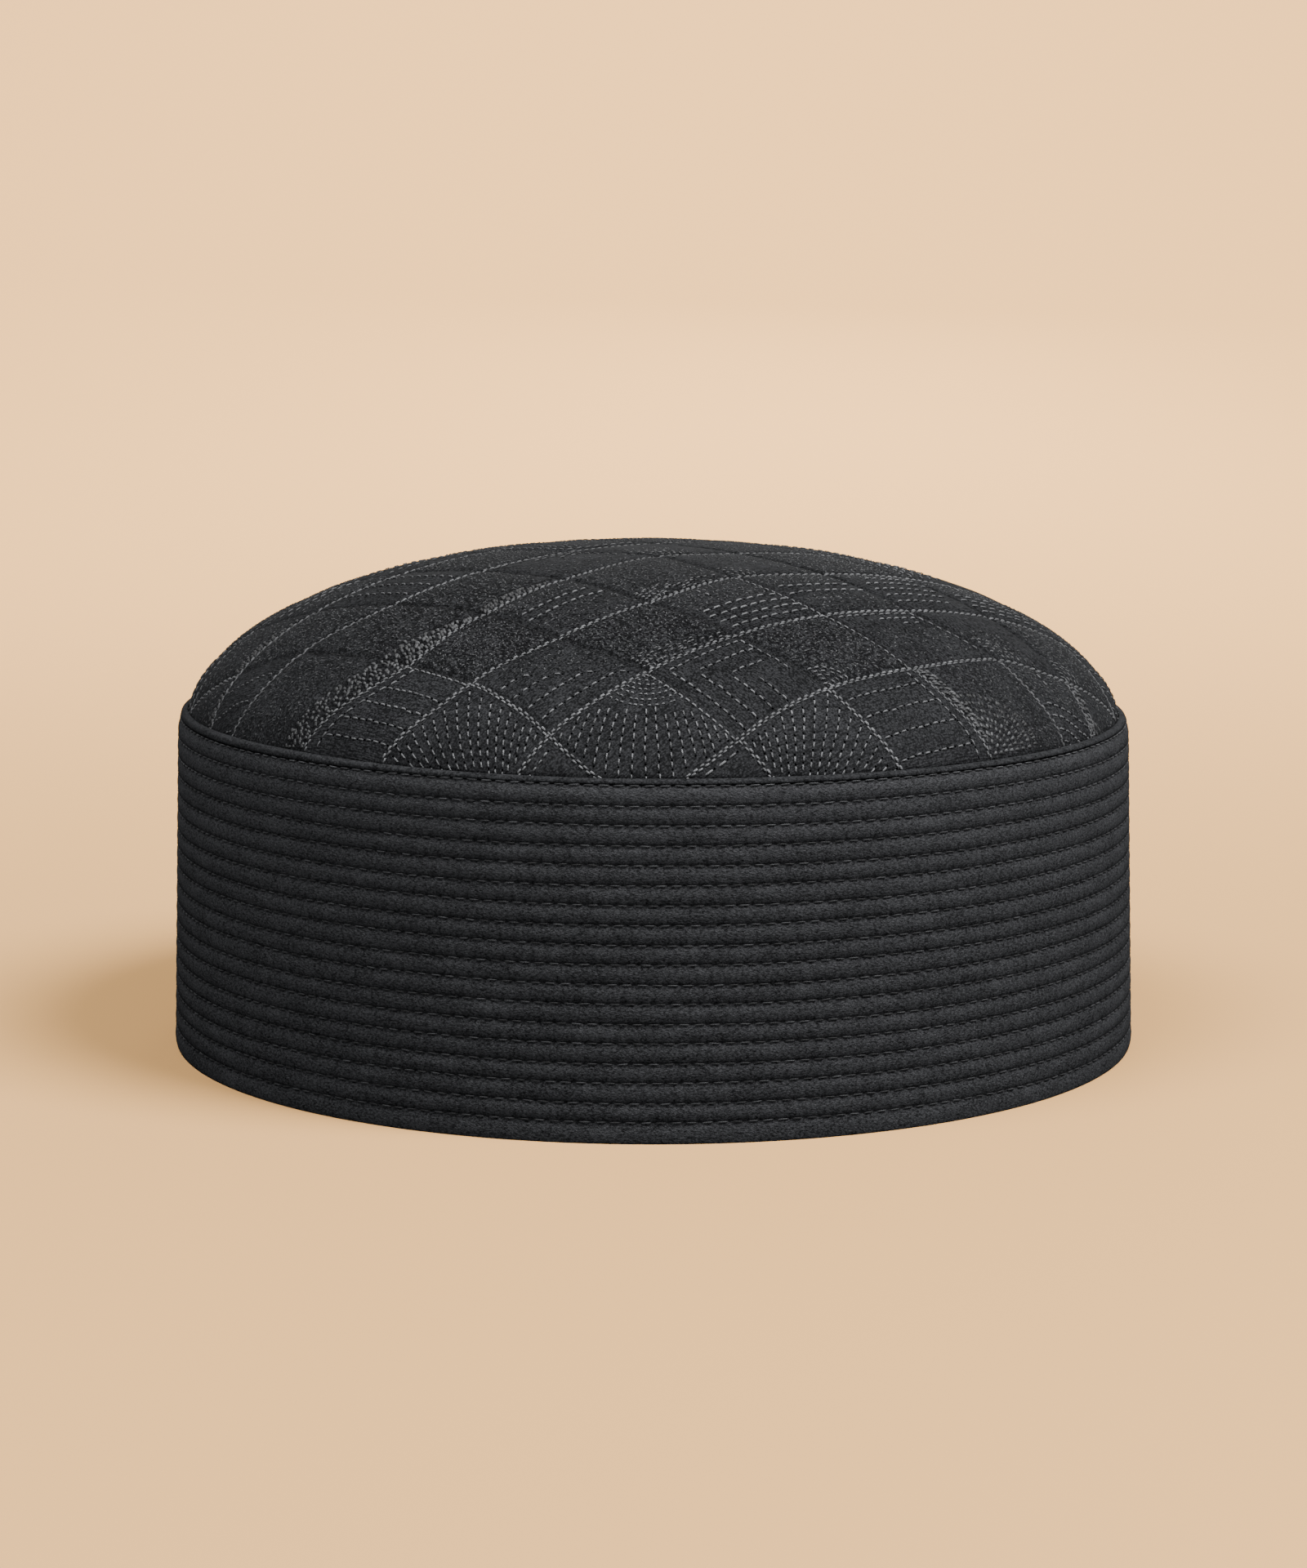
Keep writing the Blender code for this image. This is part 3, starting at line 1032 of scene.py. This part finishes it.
mossyTiles = (moss, mossAndBurst, mossAndArcs, scaledLeft, scaledRight, scaledTaper, scaledThin)
fallingHatch = (chevrons, framedBarsFalling, fallingRows, plainWithFrame, plainAndArcs)
spareMotifs = (moss, framedBarsRising, fanFromBottom, chevrons)


# Behind the top the chart is mirrored, so the whole crown is sewn
def motifOf(column, row):
    flipped = row < -1
    mirrored = -2 - row if flipped else row
    motif = chart.get((column, mirrored)) or spareMotifs[(column * 3 + mirrored) % len(spareMotifs)]
    return motif, flipped


# Tiles have their middles between the lattice's corners, so both lie on this grid by turns
latticeGrid = [(column, row) for row in range(-9, 8) for column in range(-8, 9)]


def sewTiles():
    for column, row in latticeGrid:
        if (column + row) % 2 and math.hypot(*clothAt(column, row)) <= seamArc + lattice["halfWidth"]:
            motif, flipped = motifOf(column, row)
            motif(Tile(column, row, flipped, 1000 + 40 * row + column))


sewTiles()
print("embroidery charted")


# Rows of stitches along the lattice lines
latticeSewing = {
    "dash": 1.25,
    "gap": 0.36,
    "width": 0.39,
    "swell": 0.3,  # the thread is thicker near the seam
    "between": 0.47,
    "glow": (0.42, 0.95),
    "seamClear": 4.0,  # a line with both ends so near the seam would run along it, and isn't sewn
    "beyond": 8.0,
}
# The crease stitches are near-black thread, made dark also to carry the painted shade of each bare crease
creaseSewing = {"dash": 1.25, "gap": 0.3, "width": 0.34, "height": 0.16}
sewnCreases = ((1, 1), (2, 2), (-3, 3), (0, 4))  # a few creases are sewn on one side
latticeStitches, creaseStitches = [], []


# Each row of stitches is its offset to the left of the line and where in its pitch it starts
def sewLatticeEdge(start, end, rows, rng, dark=False):
    first, last = (np.array(clothAt(*corner), dtype=float) for corner in (start, end))
    if min(np.linalg.norm(first), np.linalg.norm(last)) > seamArc - latticeSewing["seamClear"]:
        return
    sewing = creaseSewing if dark else latticeSewing
    dash, gap = sewing["dash"], sewing["gap"]
    length = float(np.linalg.norm(last - first))
    count = int(length / (dash + gap))
    for offset, phase in rows:
        at = (np.arange(count) + phase) / count
        starts, ends = (
            np.stack(clothAt(*(low + (high - low) * share for low, high in zip(start, end))), axis=-1)
            for share in (at, at + dash / length)
        )
        shift = leftOf(ends - starts) * (offset + rng.normal(0, 0.04, (count, 1)))
        starts, ends = starts + shift, ends + shift
        kept = np.hypot(*((starts + ends) / 2).T) < (lattice["sewnEdge"] if dark else seamArc + 0.3)
        widths = sewing["width"] * rng.uniform(0.9, 1.1, count)
        if dark:
            glows = 0 * widths
        else:
            widths = widths * (1 + latticeSewing["swell"] * eased(np.hypot(*starts.T), 66, 90))
            glows = rng.uniform(*latticeSewing["glow"], count) * dimTopAndSides(starts)
        stitches = creaseStitches if dark else latticeStitches
        stitches.append((starts[kept], ends[kept], widths[kept], glows[kept]))


def sewLattice():
    rng = np.random.default_rng(77)
    half, farthest = latticeSewing["between"] / 2, seamArc + latticeSewing["beyond"]
    double = ((-half, 0.0), (half, 0.42))
    for column, row in latticeGrid:
        if (column + row) % 2:
            continue
        if np.hypot(*clothAt(column + 0.5, row - 0.5)) < farthest:
            sewLatticeEdge((column, row), (column + 1, row - 1), double, rng)
        middle = np.hypot(*clothAt(column + 0.5, row + 0.5))
        if middle > farthest:
            continue
        corners = (column, row), (column + 1, row + 1)
        sewLatticeEdge(*corners, ((0.0, 0.0),), rng, dark=True)
        if middle > lattice["sewnEdge"]:
            sewLatticeEdge(*corners, double, rng)
        elif (column, row) in sewnCreases:
            sewLatticeEdge(*corners, ((-0.8, 0.0),), rng)


sewLattice()
print("lattice sewn")


# Which way the ground is hatched, where it is mossy, and where shade is painted on the ground between packed
# stitches
def groundMasks(u, v):
    column, row = latticeAt(u, v)
    fallingCell, risingCell = (np.floor(line).astype(int) for line in linesAt(column, row))
    tileColumn, tileRow = fallingCell + risingCell + 1, risingCell - fallingCell
    hatchTurn, mossy, packed = np.zeros(u.shape), np.zeros(u.shape), np.zeros(u.shape)
    for tileC, tileR in set(zip(tileColumn.ravel().tolist(), tileRow.ravel().tolist())):
        motif, flipped = motifOf(tileC, tileR)
        here = (tileColumn == tileC) & (tileRow == tileR)
        hatchTurn[here] = (motif in fallingHatch) != flipped
        mossy[here] = motif in mossyTiles
        if motif in (scaledRight, scaledTaper):
            lean = (row[here] - tileR) * (1 if flipped else -1)
            rise, fall = ((column[here] - tileC + 1 + side * lean) / 2 for side in (1, -1))
            line = (0.97 - fall) * tileSide / scaleSewing["between"]
            packed[here] = (line < 5) & (rise < (0.98 - 0.18 * line if motif is scaledTaper else 1))
    return hatchTurn, mossy * dimTopAndSides(np.stack([u, v], axis=-1), 0.6), packed


def buildCrown():
    count = crownCut["grid"]
    line = np.linspace(-1, 1, count + 1)
    a, b = np.meshgrid(line, line, indexing="ij")  # a square grid, drawn out to a round one
    wide = np.abs(a) > np.abs(b)
    reach = edgeArc * np.where(wide, a, b)
    safeA, safeB = np.where(a == 0, 1, a), np.where(b == 0, 1, b)
    turn = np.where(wide, math.pi / 4 * b / safeA, math.pi / 2 - math.pi / 4 * a / safeB)
    u, v = reach * np.cos(turn), reach * np.sin(turn)
    relief, crease, channel = crownRelief(u, v)
    hatchTurn, mossy, packed = groundMasks(u, v)
    outside = crownPoint(u, v, relief).reshape(-1, 3)
    index = np.arange((count + 1) ** 2).reshape(count + 1, count + 1)
    top = np.stack([index[:-1, :-1], index[1:, :-1], index[1:, 1:], index[:-1, 1:]], axis=-1).reshape(-1, 4)
    edge = np.concatenate([index[:-1, 0], index[-1, :-1], index[:0:-1, -1], index[0, :0:-1]])
    edgeTurn = np.arctan2(v.ravel()[edge], u.ravel()[edge])
    edgeCos, edgeSin = np.cos(edgeTurn), np.sin(edgeTurn)

    # The inside face: plain rings from the edge up to a point under the top
    innerRadius, innerRise = crownCut["radius"] - crownCut["wall"], crownCut["rise"] - crownCut["wall"]
    innerEdge = crownCut["seamRadius"] * innerRadius / crownCut["radius"]
    arc, r, z, _, _ = crownOutline(innerRadius, innerRise, innerEdge)
    rings, clothRings = [], []
    for out in np.linspace(1, 0.05, crownCut["insideRings"]) * arc[-1]:
        radius, height = np.interp(out, arc, r), np.interp(out, arc, z)
        x, y = radius * edgeCos, radius * edgeSin
        rings.append(np.stack([x, y, leaning(x, height)], axis=-1))
        clothRings.append(np.stack([out * edgeCos, out * edgeSin], axis=-1))
    first, around = len(outside), len(edge)
    loops = [edge] + [first + place * around + np.arange(around) for place in range(len(rings))]
    walls = []
    for outer, inner in zip(loops, loops[1:]):
        walls.append(np.stack([outer, inner, np.roll(inner, -1), np.roll(outer, -1)], axis=-1))
    pole = first + len(rings) * around
    poleFaces = np.stack([loops[-1], np.full(around, pole), np.roll(loops[-1], -1)], axis=-1)
    points = np.concatenate([outside] + rings + [np.array([[0.0, 0.0, z[0]]])])
    cloth = np.concatenate([np.stack([u, v], axis=-1).reshape(-1, 2)] + clothRings + [np.zeros((1, 2))])
    # Painted shade: darkest in the bare creases, fainter along the channels and between packed stitches
    shade = np.clip(crease * 0.5 + channel * 0.12 + packed * 0.3, 0, 1)
    spare = np.zeros(len(points) - first)
    masks = {"crease": shade, "hatchTurn": hatchTurn, "moss": mossy}
    values = {label: np.concatenate([mask.ravel(), spare]) for label, mask in masks.items()}
    faces = [top] + walls + [poleFaces]
    piece = makePiece("crownDome", points, faces, crownCloth, cloth, values)
    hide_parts("crown")


buildCrown()


# Needle holes: small near-black discs past the ends of the bright stitches, standing for the shade in the
# holes
holeForm = {"radius": 0.23, "thickness": 0.06, "sides": 6, "leastStitch": 1.15, "past": 0.28}


def buildHoles(stitches):
    starts, ends = stitches[:2]
    steps = ends - starts
    lengths = np.linalg.norm(steps, axis=1, keepdims=True)
    places = (ends + steps / lengths * holeForm["past"])[lengths[:, 0] > holeForm["leastStitch"]]
    sides, thickness = holeForm["sides"], holeForm["thickness"]
    turn = np.arange(sides) / sides * fullTurn
    u = places[:, 0, None] + holeForm["radius"] * np.cos(turn)
    v = places[:, 1, None] + holeForm["radius"] * np.sin(turn)
    rim = crownSurface(u, v, 0 * u)
    top, under = (crownSurface(places[:, :1], places[:, 1:], lift) for lift in (thickness, -thickness * 2))
    points = np.concatenate([rim, top, under], axis=1).reshape(-1, 3)
    first = np.arange(len(places))[:, None] * (sides + 2)
    side, nextSide = np.arange(sides), (np.arange(sides) + 1) % sides
    upper = np.stack([first + side, first + nextSide, first + sides + 0 * side], axis=-1)
    lower = np.stack([first + nextSide, first + side, first + sides + 1 + 0 * side], axis=-1)
    makePiece("needleHoles", points, [upper.reshape(-1, 3), lower.reshape(-1, 3)], holeShade)


def joined(groups):
    return [np.concatenate(part) for part in zip(*groups)]


def sewCrown(name, stitches, height, material, form=threadForm):
    heights = height * dimTopAndSides(stitches[0], 0.6, 0.35)
    buildStitches(name, stitches, heights, crownSurface, material, form)


brightStitches = joined(embroidery["bright"])
sewCrown("latticeStitches", joined(latticeStitches), 0.3, crownThread)
sewCrown("creaseStitches", joined(creaseStitches), creaseSewing["height"], bandThread)
sewCrown("motifStitches", brightStitches, 0.3, crownThread)
sewCrown("scaleStitches", joined(embroidery["scale"]), 0.34, crownThread, scaleForm)
sewCrown("seedStitches", joined(embroidery["dim"]), 0.24, groundThread, seedForm)
buildHoles(brightStitches)


# Floor and backdrop in one pale sweep
stageLook = {
    "colour": (0.69, 0.385, 0.145),
    "bounce": (0.18, 0.18, 0.18),  # what the cap sees of it, so no warm light comes back from it
    "front": 5.0,
    "back": 2.2,
    "bend": 1.4,
    "bendSteps": 12,
    "rise": 2.4,
    "width": 14.0,
}


def buildStage(look):
    material, tree, shader = newMaterial("paleSweep")
    seen = tree.add("LightPath")["Is Camera Ray"]
    colour = tree.mix(seen, look["bounce"], look["colour"])
    tree.fill(shader, {"Base Color": colour, "Roughness": 1.0, "Specular IOR Level": 0.0})
    bend, bendStart = look["bend"], look["back"] - look["bend"]
    profile = [(-look["front"], 0.0), (bendStart, 0.0)]
    for step in range(1, look["bendSteps"] + 1):
        turn = step / look["bendSteps"] * math.pi / 2
        profile.append((bendStart + bend * math.sin(turn), bend * (1 - math.cos(turn))))
    profile.append((look["back"], look["rise"]))
    points = [(side * look["width"] / 2, y, z) for y, z in profile for side in (-1, 1)]
    faces = [(2 * k, 2 * k + 1, 2 * k + 3, 2 * k + 2) for k in range(len(profile) - 1)]
    mesh = bpy.data.meshes.new("paleSweep")
    mesh.from_pydata(points, [], faces)
    mesh.shade_smooth()
    mesh.materials.append(material)
    sweep = bpy.data.objects.new("paleSweep", mesh)
    bpy.context.scene.collection.objects.link(sweep)


buildStage(stageLook)


# Lights: a broad soft key from above, in front and to the right, weak fills in front and behind, and a pale
# world. Each is where it stands, where it points, its size, power and colour. The wash is for the backdrop.
lights = {
    "key": ((0.89, -0.54, 1.5), (0, 0, 0.05), 0.9, 64.0, (1.0, 0.995, 0.985)),
    "fill": ((-0.55, -0.6, 1.55), (0, 0, 0.05), 1.0, 28.5, (1.0, 1.0, 0.995)),
    "behind": ((0.1, 1.2, 0.42), (0, 0, 0.1), 0.35, 2.6, (1.0, 1.0, 0.995)),
    "wash": ((0, 0.7, 1.5), (0, 2.2, 0.85), 1.6, 84.0, (1.0, 0.96, 0.92)),
}
worldLook = {"colour": (0.97, 0.98, 1.0), "strength": 0.26}


def buildLights():
    for name, (at, to, size, power, colour) in lights.items():
        light = bpy.data.lights.new(name, "AREA")
        light.shape = "DISK"
        light.size, light.energy, light.color = size, power, colour
        lamp = bpy.data.objects.new(name, light)
        lamp.visible_camera = False
        lamp.location = at
        lamp.rotation_euler = (Vector(to) - Vector(at)).to_track_quat("-Z", "Y").to_euler()
        bpy.context.scene.collection.objects.link(lamp)
    world = bpy.data.worlds.new("paleWorld")
    world.use_nodes = True
    sky = world.node_tree.nodes["Background"]
    sky.inputs["Color"].default_value = (*worldLook["colour"], 1)
    sky.inputs["Strength"].default_value = worldLook["strength"]
    bpy.context.scene.world = world


buildLights()


# Camera: in front of the cap, looking down a little
cameraLook = {"back": 0.7951, "height": 0.1773, "down": 9.12, "lens": 92.88, "sensor": 36.0}


def buildCamera(look):
    lens = bpy.data.cameras.new("camera")
    lens.lens, lens.sensor_width = look["lens"], look["sensor"]
    camera = bpy.data.objects.new("camera", lens)
    camera.location = (0, -look["back"], look["height"])
    camera.rotation_euler = (math.radians(90 - look["down"]), 0, 0)
    bpy.context.scene.collection.objects.link(camera)
    bpy.context.scene.camera = camera


buildCamera(cameraLook)
print("stage, lights and camera set")
